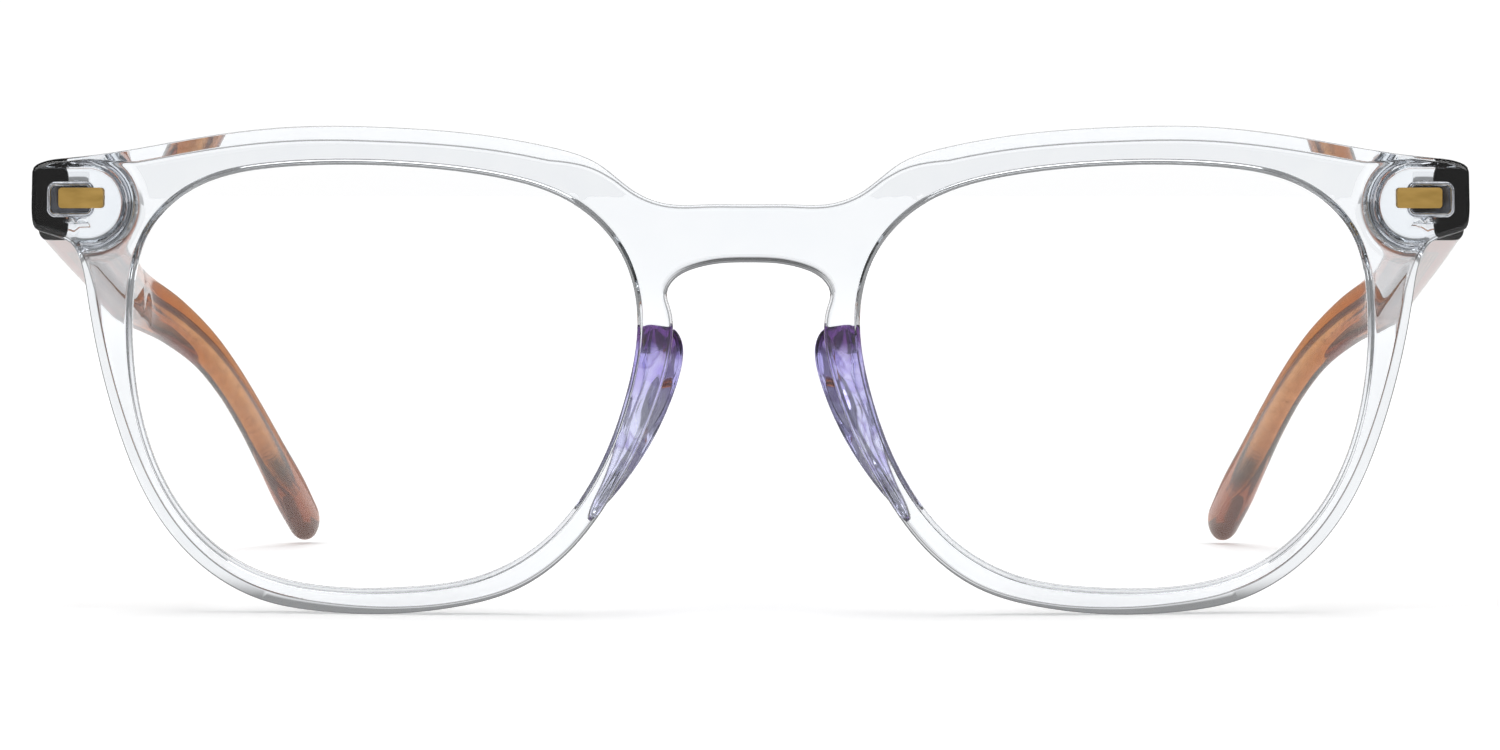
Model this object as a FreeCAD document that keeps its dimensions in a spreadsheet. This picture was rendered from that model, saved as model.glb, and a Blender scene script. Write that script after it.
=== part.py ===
"""Spectacles with clear plano lenses: a clear acetate front, tinted acetate temples on barrel hinges.

Row frame, millimetres: +X to the wearer's left, +Y from the front back to the temple tips, +Z up.
The open spectacles stand on Z = 0 on the two rims and the two temple tips. The origin is the
middle of that footprint. Left parts are built on the +X side and mirrored for the right.
"""
import FreeCAD, Part
import math
import os

import Sketcher
from FreeCAD import Placement, Rotation, Vector

DRIVING_SIZES = {
    "half_depth": 72.95,          # from the bridge's front face to the middle of the footprint
    "lens_width": 49.3,           # clear opening of one rim
    "lens_height": 41.1,
    "lens_centre_x": 35.4,
    "lens_centre_z": 23.15,
    "lens_bevel": 0.55,           # how far the lens edge enters the rim
    "lens_thick": 1.9,
    "lens_inset": 1.1,            # from the rim's front face to the lens
    "lens_play": 0.03,
    "lens_chamfer": 0.5,
    "face_radius": 260.0,         # the front's curve, across and upward
    "rim_thick": 4.2,
    "front_round": 0.5,           # rounded outer edge of the front face
    "opening_round": 0.3,
    "butt_depth": 16.5,           # where the end piece meets the temple
    "boss_radius": 3.8,
    "boss_x": 64.4,
    "hinge_x": 65.4,
    "hinge_z": 39.6,
    "hinge_back": 1.0,            # hinge axis behind the butt face
    "knuckle_radius": 1.35,
    "knuckle_pitch": 0.68,
    "knuckle_gap": 0.04,
    "relief_radius": 1.62,
    "screw_radius": 0.55,
    "screw_play": 0.02,
    "head_radius": 0.92,
    "head_height": 0.55,
    "foot_x": 66.1,
    "foot_z": 40.05,
    "foot_width": 4.8,
    "foot_height": 3.5,
    "foot_thick": 1.2,
    "foot_depth": 3.2,            # foot's front face ahead of the butt face
    "neck_width": 2.9,
    "pocket_play": 0.03,
    "plaque_width": 4.6,
    "plaque_height": 2.0,
    "plaque_thick": 0.7,
    "plaque_sink": 0.5,
    "plaque_x": 65.1,
    "plaque_z": 40.3,
    "pin_radius": 0.5,
    "pin_length": 2.2,
    "pin_spacing": 2.6,
    "leaf_x": 66.1,
    "leaf_start": 1.9,            # behind the hinge axis
    "leaf_length": 8.4,
    "leaf_height": 2.9,
    "leaf_thick": 1.1,
    "wire_start": 31.0,
    "tip_round": 0.8,
    "pad_gap": 0.02,
}

# Outer outline of the front, left half, as (x, z): from the bridge's top edge over the brow,
# round the end piece, down the rim, up the nose side and into the keyhole.
OUTLINE = [(8.0, 39.7), (10.9, 40.9), (14.5, 43.6), (19.0, 45.2), (26.1, 46.45), (35.8, 47.2),
           (43.6, 47.25), (53.4, 46.2), (61.6, 44.8), (66.6, 44.2), (69.0, 43.85),
           (69.85, 43.35), (70.2, 42.3), (70.25, 40.0), (70.1, 38.1), (69.75, 37.3),
           (68.9, 36.9), (67.4, 36.45), (66.2, 35.9), (65.4, 34.7), (64.6, 31.2),
           (63.35, 24.5), (61.5, 17.9), (58.3, 10.5), (53.4, 4.65), (47.0, 1.15), (41.8, 0.25),
           (36.3, 0.0), (29.0, 0.65), (22.2, 2.6), (16.9, 6.6), (13.2, 11.6), (11.0, 15.6),
           (9.2, 19.7), (7.9, 23.7), (7.3, 27.0), (7.5, 29.6), (7.85, 31.2), (7.1, 32.5),
           (5.2, 33.5), (2.8, 34.0)]

# Clear opening of the left rim, as shares of its half width and half height about its centre.
OPENING = [(0.13, 0.99), (-0.16, 0.975), (-0.45, 0.93), (-0.745, 0.81), (-0.93, 0.59),
           (-1.0, 0.31), (-0.962, -0.065), (-0.845, -0.44), (-0.61, -0.795), (-0.375, -0.945),
           (-0.08, -1.0), (0.26, -0.995), (0.576, -0.883), (0.816, -0.615), (0.94, -0.3),
           (0.996, 0.066), (0.997, 0.355), (0.937, 0.66), (0.737, 0.887), (0.44, 0.975)]

# Nose pad sections, (x, z): on the rim's back, half way, and at the skin side.
PAD_FRONT = [(7.3, 27.45), (6.6, 26.6), (6.4, 25.3), (6.9, 22.5), (8.1, 19.3), (10.2, 15.2),
             (12.4, 11.5), (14.2, 9.0), (14.9, 8.6), (14.85, 9.5), (14.1, 12.0), (13.0, 15.5),
             (12.0, 18.8), (11.2, 22.0), (10.7, 25.0), (10.3, 27.0), (9.6, 27.5)]
PAD_MIDDLE = [(7.6, 27.1), (7.0, 26.3), (6.85, 25.1), (7.3, 22.6), (8.45, 19.5), (10.5, 15.4),
              (12.55, 11.9), (14.0, 9.8), (14.5, 9.45), (14.45, 10.2), (13.7, 12.3),
              (12.6, 15.6), (11.6, 18.8), (10.8, 21.9), (10.3, 24.8), (9.95, 26.7), (9.3, 27.15)]
PAD_BACK = [(8.0, 26.4), (7.5, 25.7), (7.4, 24.7), (7.9, 22.6), (9.0, 19.7), (10.9, 15.8),
            (12.7, 12.8), (13.7, 11.3), (14.05, 11.1), (14.0, 11.7), (13.2, 13.2), (12.0, 15.9),
            (11.1, 18.8), (10.3, 21.8), (9.85, 24.2), (9.55, 25.8), (8.95, 26.4)]
PAD_DEPTHS = (3.4, 6.6, 9.3, 10.2)
PAD_TIP_SHARE = 0.6

# Temple stations: depth from the bridge's front face, x, z, half height, half thickness, squareness.
TEMPLE = [(16.5, 68.2, 39.75, 3.5, 2.0, 6.0), (38.0, 68.2, 36.8, 3.35, 2.0, 6.0),
          (64.0, 68.2, 33.25, 3.15, 1.95, 5.0), (88.0, 68.15, 29.95, 3.0, 1.9, 4.2),
          (96.5, 67.4, 28.6, 2.9, 1.8, 3.6), (104.0, 64.75, 26.4, 2.55, 1.65, 3.0),
          (110.5, 61.85, 23.2, 2.2, 1.5, 2.6), (116.5, 59.6, 19.45, 2.05, 1.45, 2.5),
          (122.5, 57.85, 15.55, 2.1, 1.5, 2.4), (130.5, 55.95, 10.5, 2.25, 1.65, 2.4),
          (137.7, 54.35, 6.05, 2.45, 1.85, 2.3), (142.5, 53.2, 2.9, 2.35, 1.75, 2.2),
          (145.0, 52.6, 1.25, 1.5, 1.2, 2.1)]
TEMPLE_SECTIONS = 40
WIRE_STATIONS = 24
WIRE_END_SHARE = 0.93
WIRE_HALF_HEIGHT = 0.95
WIRE_HALF_THICK = 0.65
SECTION_POINTS = 20
GROWN_POINTS = 64

doc = FreeCAD.newDocument("spectacles")
sheet = doc.addObject("Spreadsheet::Sheet", "Dimensions")
for row, (alias, value) in enumerate(DRIVING_SIZES.items(), start=1):
    sheet.set(f"A{row}", alias)
    sheet.set(f"B{row}", str(value))
    sheet.setAlias(f"B{row}", alias)
doc.recompute()
nodes = []


def size(alias):
    return float(sheet.get(alias))


def at_depth(depth):
    """Y of a plane that lies so far behind the bridge's front face."""
    return depth - size("half_depth")


def bind(feature, **expressions):
    """Bind properties to sheet cells. A double underscore in a name stands for a dot."""
    for name, expression in expressions.items():
        text = expression
        for alias in sorted(DRIVING_SIZES, key=len, reverse=True):
            text = text.replace(f"[{alias}]", f"Dimensions.{alias}")
        feature.setExpression(name.replace("__", "."), text)


def keep(feature, label):
    """Make a feature one of the sub-parts that are written out."""
    feature.Label = label
    nodes.append(feature)
    return feature


def origin_plane(body, role):
    return next(f for f in body.Origin.OriginFeatures if f.Role == role)


def spline(points, periodic=False):
    curve = Part.BSplineCurve()
    curve.interpolate([Vector(x, y, 0) for x, y in points], PeriodicFlag=periodic)
    return curve


def add_curves(sketch, curves):
    for curve in curves:
        sketch.addGeometry(curve, False)


def front_view_body(name, curves, first_depth, length):
    """A body padded backward from a sketch drawn in the front view at a depth."""
    body = doc.addObject("PartDesign::Body", name)
    sketch = body.newObject("Sketcher::SketchObject", name + "_outline")
    sketch.AttachmentSupport = [(origin_plane(body, "XZ_Plane"), "")]
    sketch.MapMode = "FlatFace"
    bind(sketch, AttachmentOffset__Base__z=f"[half_depth] - ({first_depth})")
    add_curves(sketch, curves)
    pad = body.newObject("PartDesign::Pad", name + "_pad")
    pad.Profile = sketch
    pad.Reversed = True
    bind(pad, Length=length)
    doc.recompute()
    return body


def boolean(kind, name, base, tool):
    feature = doc.addObject("Part::" + kind, name)
    feature.Base = base
    feature.Tool = tool
    return feature


def fuse(name, shapes):
    feature = doc.addObject("Part::MultiFuse", name)
    feature.Shapes = shapes
    return feature


def ball(name, radius):
    """A ball about the centre of the front's curve."""
    feature = doc.addObject("Part::Sphere", name)
    bind(feature, Radius=radius, Placement__Base__y="[face_radius] - [half_depth]",
         Placement__Base__z="[lens_centre_z]")
    return feature


def box(name, length, width, height, x, y, z):
    """A box by its size and lowest corner; y is a depth behind the bridge's front face."""
    feature = doc.addObject("Part::Box", name)
    bind(feature, Length=length, Width=width, Height=height, Placement__Base__x=x,
         Placement__Base__y=f"{y} - [half_depth]", Placement__Base__z=z)
    return feature


def upright(name, radius, height, x, y, z):
    """An upright cylinder; y is a depth behind the bridge's front face."""
    feature = doc.addObject("Part::Cylinder", name)
    bind(feature, Radius=radius, Height=height, Placement__Base__x=x,
         Placement__Base__y=f"{y} - [half_depth]", Placement__Base__z=z)
    return feature


def rounded(kind, name, base, radius, wanted):
    """Part fillet or chamfer of the edges for which wanted(edge) is true."""
    doc.recompute()
    feature = doc.addObject("Part::" + kind, name)
    feature.Base = base
    chosen = [i for i, e in enumerate(base.Shape.Edges, start=1) if wanted(e)]
    feature.Edges = [(i, radius, radius) for i in chosen]
    doc.recompute()
    return feature


def mirrored(source, label):
    feature = doc.addObject("Part::Mirroring", label)
    feature.Source = source
    feature.Base = Vector(0, 0, 0)
    feature.Normal = Vector(1, 0, 0)
    return keep(feature, label)


def both_sides(feature, stem):
    """Keep the left part and its mirror image as two sub-parts."""
    keep(feature, stem + "_left")
    mirrored(feature, stem + "_right")


def mirror_tool(source):
    feature = doc.addObject("Part::Mirroring", source.Name + "_mirror")
    feature.Source = source
    feature.Normal = Vector(1, 0, 0)
    return feature


def flip(points):
    return [(-x, z) for x, z in reversed(points)]


def front_curves():
    """The closed outline of the front: a spline round both halves, cut into runs, and a line."""
    x, z = OUTLINE[0]
    points = OUTLINE + [(0.0, 34.1)] + flip(OUTLINE)
    whole = spline(points)
    splits = [0, 10, 18, 26, 37]
    splits += [len(points) - 1 - i for i in reversed(splits)]
    at = [whole.parameter(Vector(*points[i], 0)) for i in splits]
    runs = []
    for first, last in zip(at, at[1:]):
        run = whole.copy()
        run.segment(first, last)
        runs.append(run)
    return runs + [Part.LineSegment(Vector(-x, z, 0), Vector(x, z, 0))]


def opening_curve(margin):
    """The rim's clear opening grown outward by a margin."""
    half_w, half_h = size("lens_width") / 2, size("lens_height") / 2
    cx, cz = size("lens_centre_x"), size("lens_centre_z")
    curve = spline([(cx + u * half_w, cz + v * half_h) for u, v in OPENING], periodic=True)
    if not margin:
        return curve
    first, last = curve.FirstParameter, curve.LastParameter
    points = []
    for i in range(GROWN_POINTS):
        parameter = first + (last - first) * i / GROWN_POINTS
        outward = curve.tangent(parameter)[0].cross(Vector(0, 0, 1))
        point = curve.value(parameter)
        if outward.dot(point - Vector(cx, cz, 0)) < 0:
            outward = outward.negative()
        point += outward * margin
        points.append((point.x, point.y))
    return spline(points, periodic=True)


def lens_solid(name, margin, play):
    """A domed disc in the rim's outline, between two balls; play widens it for the groove."""
    prism = front_view_body(name + "_prism", [opening_curve(margin)], "-1", "20")
    outer = ball(name + "_outer_ball", f"[face_radius] - [lens_inset] + {play}")
    inner = ball(name + "_inner_ball", f"[face_radius] - [lens_inset] - [lens_thick] - {play}")
    disc = boolean("Common", name + "_disc", prism, outer)
    shell = boolean("Cut", name + "_shell", disc, inner)
    return rounded("Chamfer", name, shell, size("lens_chamfer"),
                   lambda e: e.Length > size("lens_width") * 2)


def stadium(half_height, reach):
    """Front-view outline of the end-piece boss: round at the inner end, open-ended outward."""
    x, z = size("boss_x"), size("hinge_z")
    top, bottom = z + half_height, z - half_height
    inner = Vector(x - half_height, z, 0)
    return [Part.Arc(Vector(x, top, 0), inner, Vector(x, bottom, 0)),
            Part.LineSegment(Vector(x, bottom, 0), Vector(reach, bottom, 0)),
            Part.LineSegment(Vector(reach, bottom, 0), Vector(reach, top, 0)),
            Part.LineSegment(Vector(reach, top, 0), Vector(x, top, 0))]


def foot_and_neck(name, play, neck_length):
    """The hinge's moulded-in foot plate and its neck; play widens both."""
    grow = f"[pocket_play] * {play}"
    foot = box(name + "_foot", f"[foot_width] + 2 * {grow}", f"[foot_thick] + 2 * {grow}",
               f"[foot_height] + 2 * {grow}", f"[foot_x] - [foot_width] / 2 - {grow}",
               f"[butt_depth] - [foot_depth] - {grow}", f"[foot_z] - [foot_height] / 2 - {grow}")
    neck = box(name + "_neck", f"[neck_width] + 2 * {grow}", neck_length,
               f"5 * [knuckle_pitch] + 2 * {grow}", f"[hinge_x] - [neck_width] / 2 - {grow}",
               f"[butt_depth] - [foot_depth]", f"[hinge_z] - 2.5 * [knuckle_pitch] - {grow}")
    return [foot, neck]


def knuckle(name, layer, web_size, web_corner):
    """One barrel layer, counted up from the bottom, with its web; both less the sliding gap."""
    height = "[knuckle_pitch] - [knuckle_gap]"
    z = f"[hinge_z] + ({layer} - 2.5) * [knuckle_pitch] + [knuckle_gap] / 2"
    barrel = upright(f"{name}_barrel_{layer}", "[knuckle_radius]", height, "[hinge_x]",
                     "[butt_depth] + [hinge_back]", z)
    web = box(f"{name}_web_{layer}", *web_size, height, *web_corner, z)
    return [barrel, web]


def screw_bore(name, radius):
    return upright(name, radius, "[foot_height] + 4", "[hinge_x]", "[butt_depth] + [hinge_back]",
                   "[hinge_z] - [foot_height] / 2 - 2")


def plaque_solid(name, play):
    """A flat plate with rounded corners and two pins, tangent to the face; play widens it."""
    grow = f"[pocket_play] * {play}"
    body = doc.addObject("PartDesign::Body", name)
    plate_sketch = body.newObject("Sketcher::SketchObject", name + "_plate_outline")
    plate_sketch.AttachmentSupport = [(origin_plane(body, "XZ_Plane"), "")]
    plate_sketch.MapMode = "FlatFace"
    half_w = size("plaque_width") / 2 + size("pocket_play") * play
    half_h = size("plaque_height") / 2 + size("pocket_play") * play
    add_curves(plate_sketch, rounded_rectangle(half_w, half_h, 0.35))
    plate = body.newObject("PartDesign::Pad", name + "_plate")
    plate.Profile = plate_sketch
    plate.Reversed = True
    bind(plate, Length=f"[plaque_thick] + {grow}")
    pin_sketch = body.newObject("Sketcher::SketchObject", name + "_pin_outline")
    pin_sketch.AttachmentSupport = [(origin_plane(body, "XZ_Plane"), "")]
    pin_sketch.MapMode = "FlatFace"
    for side in (-1, 1):
        centre = Vector(side * size("pin_spacing") / 2, 0, 0)
        pin_sketch.addGeometry(Part.Circle(centre, Vector(0, 0, 1), size("pin_radius")), False)
        index = len(pin_sketch.Geometry) - 1
        pin_sketch.addConstraint(Sketcher.Constraint("Radius", index, size("pin_radius")))
        pin_sketch.setExpression(f".Constraints[{len(pin_sketch.Constraints) - 1}]",
                                 f"Dimensions.pin_radius + Dimensions.pocket_play * {play}")
    pins = body.newObject("PartDesign::Pad", name + "_pins")
    pins.Profile = pin_sketch
    pins.Reversed = True
    bind(pins, Length=f"[plaque_thick] + [pin_length] + {grow}")
    return body


def rounded_rectangle(half_w, half_h, r):
    """Eight curves of a rectangle with rounded corners about the origin."""
    curves = []
    corners = [(1, 1, 0), (-1, 1, 90), (-1, -1, 180), (1, -1, 270)]
    centres = [Vector(sx * (half_w - r), sz * (half_h - r), 0) for sx, sz, _ in corners]
    for i, (sx, sz, start) in enumerate(corners):
        circle = Part.Circle(centres[i], Vector(0, 0, 1), r)
        arc = Part.ArcOfCircle(circle, math.radians(start), math.radians(start + 90))
        curves.append(arc)
        nxt = (i + 1) % 4
        turn = math.radians(start + 90)
        edge = Vector(math.cos(turn) * r, math.sin(turn) * r, 0)
        curves.append(Part.LineSegment(centres[i] + edge, centres[nxt] + edge))
    return curves


def place_on_face(body):
    """Lay a body on the front's curve at the plaque's place, sunk by the plaque's sink."""
    reach = size("plaque_x")
    tilt = math.degrees(math.asin(reach / size("face_radius")))
    rise = size("plaque_z") - size("lens_centre_z")
    level = math.sqrt(size("face_radius") ** 2 - rise ** 2 - reach ** 2)
    depth = size("face_radius") - level
    proud = size("plaque_thick") - size("plaque_sink")
    back = math.radians(tilt)
    body.Placement = Placement(
        Vector(reach + proud * math.sin(back), at_depth(depth) - proud * math.cos(back),
               size("plaque_z")),
        Rotation(Vector(0, 0, 1), tilt))


def superellipse(half_w, half_h, power):
    points = []
    for i in range(SECTION_POINTS):
        turn = 2 * math.pi * (i + 0.5) / SECTION_POINTS
        c, s = math.cos(turn), math.sin(turn)
        points.append((half_w * math.copysign(abs(c) ** (2 / power), c),
                       half_h * math.copysign(abs(s) ** (2 / power), s)))
    return points


def temple_path():
    path = Part.BSplineCurve()
    path.interpolate([Vector(x, at_depth(depth), z) for depth, x, z, *_ in TEMPLE])
    return path


def path_point_at(path, depth):
    """The path's point at this depth, by bisection; the depth grows all along the path."""
    low, high = path.FirstParameter, path.LastParameter
    for _ in range(40):
        middle = (low + high) / 2
        if path.value(middle).y < at_depth(depth):
            low = middle
        else:
            high = middle
    return path.value((low + high) / 2)


def path_frame(point, tangent):
    """A section's placement: its x is level and across the path, its y is up the height."""
    across = Vector(0, 0, 1).cross(tangent).negative().normalize()
    upward = across.cross(tangent)
    if upward.z < 0:
        upward = upward.negative()
    return Placement(point, Rotation(across, upward, Vector(), "XYZ"))


def between_stations(depth, column):
    """A station value at any depth, straight between its two neighbours."""
    for before, after in zip(TEMPLE, TEMPLE[1:]):
        if depth <= after[0]:
            share = (depth - before[0]) / (after[0] - before[0])
            return before[column] + share * (after[column] - before[column])
    return TEMPLE[-1][column]


def temple_loft():
    path = temple_path()
    first, last = TEMPLE[0][0], TEMPLE[-1][0]
    sections = []
    for index in range(TEMPLE_SECTIONS):
        depth = first + (last - first) * index / (TEMPLE_SECTIONS - 1)
        point = path_point_at(path, depth)
        tangent = path.tangent(path.parameter(point))[0] if index else Vector(0, 1, 0)
        half_h, half_w, power = (between_stations(depth, column) for column in (3, 4, 5))
        section = doc.addObject("Sketcher::SketchObject", f"temple_section_{index}")
        section.addGeometry(spline(superellipse(half_w, half_h, power), periodic=True), False)
        section.Placement = path_frame(point, tangent)
        sections.append(section)
    loft = doc.addObject("Part::Loft", "temple_loft")
    loft.Sections = sections
    loft.Solid = True
    loft.Ruled = False
    return loft


def shrunk(points, share):
    """The same outline scaled about its middle."""
    middle_x = sum(x for x, _ in points) / len(points)
    middle_z = sum(z for _, z in points) / len(points)
    return [(middle_x + share * (x - middle_x), middle_z + share * (z - middle_z))
            for x, z in points]


def pad_section(name, points, depth):
    section = doc.addObject("Sketcher::SketchObject", name)
    section.addGeometry(spline(points, periodic=True), False)
    section.Placement = Placement(Vector(0, at_depth(depth), 0), Rotation(Vector(1, 0, 0), 90))
    return section


def wire_loft(name, grow):
    """The core wire along the temple's path: a flat oval that tapers to a point."""
    path = temple_path()
    first, last = path.FirstParameter, path.LastParameter
    start = path.parameter(path_point_at(path, size("wire_start")))
    stop = first + (last - first) * WIRE_END_SHARE
    sections = []
    for i in range(WIRE_STATIONS):
        share = i / (WIRE_STATIONS - 1)
        parameter = start + (stop - start) * share
        taper = 1.0 if share < 0.9 else 1.0 - 6.5 * (share - 0.9)
        sections.append(wire_section(f"{name}_section_{i}", path, parameter, taper, grow))
    loft = doc.addObject("Part::Loft", name)
    loft.Sections = sections
    loft.Solid = True
    return loft


def wire_section(name, path, parameter, taper, grow):
    section = doc.addObject("Part::Ellipse", name)
    section.MajorRadius = WIRE_HALF_HEIGHT * taper + grow
    section.MinorRadius = WIRE_HALF_THICK * taper + grow
    frame = path_frame(path.value(parameter), path.tangent(parameter)[0])
    section.Placement = frame.multiply(Placement(Vector(), Rotation(Vector(0, 0, 1), 90)))
    return section


def on_curve(edge, radius):
    """True for an edge that lies on the ball of this radius about the centre of the curve."""
    centre = Vector(0, size("face_radius") - size("half_depth"), size("lens_centre_z"))
    first, last = edge.FirstParameter, edge.LastParameter
    points = [edge.valueAt(first + (last - first) * share) for share in (0, 0.3, 0.7, 1)]
    return all(abs((p - centre).Length - radius) < 0.01 for p in points)


def is_opening(edge):
    """True for the edges of the two lens openings."""
    height = edge.BoundBox.ZLength
    return edge.isClosed() and abs(height - size("lens_height")) < 0.4


def front_edge(edge):
    return on_curve(edge, size("face_radius"))


def back_edge(edge):
    return on_curve(edge, size("face_radius") - size("rim_thick"))


# The front: a domed plate with end-piece bosses, rounded edges, lens openings and grooves.
blank = front_view_body("front_blank", front_curves(), "-1", "[butt_depth] + 1")
face_ball = ball("face_ball", "[face_radius]")
domed_blank = boolean("Common", "domed_blank", blank, face_ball)
boss_prism = front_view_body("boss_prism", stadium(size("boss_radius"), 72), "0",
                             "[butt_depth] + 1")
both_bosses = fuse("both_bosses", [boss_prism, mirror_tool(boss_prism)])
back_ball = ball("rim_back_ball", "[face_radius] - [rim_thick]")
hollow = boolean("Cut", "back_hollow", back_ball, both_bosses)
solid_front = boolean("Cut", "solid_front", domed_blank, hollow)
opening = front_view_body("opening", [opening_curve(0)], "-1", "24")
openings = fuse("openings", [opening, mirror_tool(opening)])
open_front = boolean("Cut", "open_front", solid_front, openings)
rounded_face = rounded("Fillet", "rounded_face", open_front, size("front_round"),
                       lambda e: front_edge(e) and not is_opening(e))
rounded_openings = rounded("Fillet", "rounded_openings", rounded_face, size("opening_round"),
                           lambda e: is_opening(e) and (front_edge(e) or back_edge(e)))

# The lenses and their grooves.
lens = lens_solid("lens_left", size("lens_bevel"), "0")
both_sides(lens, "lens")
groove = lens_solid("groove", size("lens_bevel") + size("lens_play"), "[lens_play]")

# The hinge's front half: a foot plate moulded into the end piece, a neck and three knuckles.
front_webs = []
for layer in (0, 2, 4):
    front_webs += knuckle("front", layer, ("2 * [knuckle_radius]", "[relief_radius]"),
                          ("[hinge_x] - [knuckle_radius]",
                           "[butt_depth] + [hinge_back] - [relief_radius]"))
solid_front_hinge = fuse("solid_front_hinge", foot_and_neck(
    "hinge", 0, "[foot_depth] + [hinge_back] - [relief_radius]") + front_webs)
bore = screw_bore("screw_bore", "[screw_radius] + [screw_play]")
front_hinge_left = boolean("Cut", "front_hinge_left", solid_front_hinge, bore)
both_sides(front_hinge_left, "front_hinge")
foot_pocket = fuse("foot_pocket", foot_and_neck("pocket", 1, "[foot_depth] + 1"))
relief = upright("knuckle_relief", "[relief_radius]",
                 "5 * [knuckle_pitch] + [head_height] + 0.35", "[hinge_x]",
                 "[butt_depth] + [hinge_back]", "[hinge_z] - 2.5 * [knuckle_pitch] - 0.15")

# The plaques and their pockets.
plaque = plaque_solid("plaque_left", 0)
place_on_face(plaque)
both_sides(plaque, "front_plaque")
plaque_pocket = plaque_solid("plaque_pocket", 1)
place_on_face(plaque_pocket)

left_cuts = fuse("left_cuts", [groove, foot_pocket, relief, plaque_pocket])
all_cuts = fuse("all_cuts", [left_cuts, mirror_tool(left_cuts)])
keep(boolean("Cut", "front_frame", rounded_openings, all_cuts), "front_frame")

# The nose pads: a loft from the rim's back, trimmed to lie on it.
pad_loft = doc.addObject("Part::Loft", "pad_loft")
pad_outlines = (PAD_FRONT, PAD_MIDDLE, PAD_BACK, shrunk(PAD_BACK, PAD_TIP_SHARE))
pad_loft.Sections = [pad_section(f"pad_section_{i}", points, depth) for i, (points, depth)
                     in enumerate(zip(pad_outlines, PAD_DEPTHS))]
pad_loft.Solid = True
pad_seat = ball("pad_seat", "[face_radius] - [rim_thick] - [pad_gap]")
both_sides(boolean("Common", "nose_pad_left", pad_loft, pad_seat), "nose_pad")

# The hinge's temple half: a leaf sunk in the temple's inner face and two knuckles.
temple_webs = []
for layer in (1, 3):
    temple_webs += knuckle("temple", layer, ("[leaf_x] + [leaf_thick] - [hinge_x]",
                                             "[leaf_start] + 0.5"),
                           ("[hinge_x]", "[butt_depth] + [hinge_back]"))
leaf = box("leaf", "[leaf_thick]", "[leaf_length]", "[leaf_height]", "[leaf_x]",
           "[butt_depth] + [hinge_back] + [leaf_start]", "[hinge_z] - [leaf_height] / 2")
temple_hinge_left = boolean("Cut", "temple_hinge_left",
                            fuse("solid_temple_hinge", [leaf, *temple_webs]), bore)
both_sides(temple_hinge_left, "temple_hinge")

# The hinge screw, fixed in the front's knuckles.
shank = upright("screw_shank", "[screw_radius]", "5 * [knuckle_pitch] + 0.2", "[hinge_x]",
                "[butt_depth] + [hinge_back]", "[hinge_z] - 2.5 * [knuckle_pitch] - 0.2")
screw_head = upright("screw_head", "[head_radius]", "[head_height]", "[hinge_x]",
                     "[butt_depth] + [hinge_back]", "[hinge_z] + 2.5 * [knuckle_pitch]")
slot = box("screw_slot", "3", "0.3", "0.3", "[hinge_x] - 1.5",
           "[butt_depth] + [hinge_back] - 0.15",
           "[hinge_z] + 2.5 * [knuckle_pitch] + [head_height] - 0.25")
hinge_screw_left = boolean("Cut", "hinge_screw_left", fuse("solid_screw", [shank, screw_head]), slot)
both_sides(hinge_screw_left, "hinge_screw")

# The temples with their core wires.
wire = wire_loft("core_wire_left", 0)
both_sides(wire, "core_wire")
wire_channel = wire_loft("wire_channel", size("pocket_play"))
solid_temple = temple_loft()
doc.recompute()
round_tip = rounded("Fillet", "round_tip", solid_temple, size("tip_round"),
                    lambda e: e.BoundBox.YMin > at_depth(140) and e.isClosed())
leaf_pocket = box("leaf_pocket", "[leaf_thick] + 1", "[leaf_length] + 2 * [pocket_play]",
                  "[leaf_height] + 2 * [pocket_play]", "[leaf_x] + [pocket_play] - 1",
                  "[butt_depth] + [hinge_back] + [leaf_start] - [pocket_play]",
                  "[hinge_z] - [leaf_height] / 2 - [pocket_play]")
web_pocket = box("web_pocket", "[leaf_x] + [leaf_thick] + [pocket_play] - [hinge_x]",
                 "[leaf_start] + 0.5", "5 * [knuckle_pitch] + 0.3", "[hinge_x]",
                 "[butt_depth] + [hinge_back]", "[hinge_z] - 2.5 * [knuckle_pitch] - 0.15")
temple_cuts = fuse("temple_cuts", [wire_channel, leaf_pocket, web_pocket, relief])
temple_left = boolean("Cut", "temple_left", round_tip, temple_cuts)
both_sides(temple_left, "temple")

doc.recompute()
for feature in doc.Objects:
    if "Invalid" in feature.State or "Error" in feature.State:
        raise RuntimeError(f"{feature.Label} did not compute: {feature.State}")
os.makedirs("parts", exist_ok=True)
for node in nodes:
    if node.Shape.isNull() or not node.Shape.isValid():
        raise RuntimeError(f"{node.Label} has no valid shape")
    node.Shape.exportStep(f"parts/{node.Label}.step")
print(f"wrote {len(nodes)} parts")
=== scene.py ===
"""Looks for the spectacles: clear acetate front, amber temples, clear pads with a painted violet
reflection of the lens coating, gold plaques.

Shapes are built in millimetres as (x, depth, z), with depth counted back from the bridge's front
face, and scaled to metres in the part's frame when their mesh is made. Measures are those of the
left side, which is mirrored for the right.
"""
import math

import bmesh
import bpy
import numpy as np
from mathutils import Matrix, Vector
from mathutils.geometry import delaunay_2d_cdt


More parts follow.
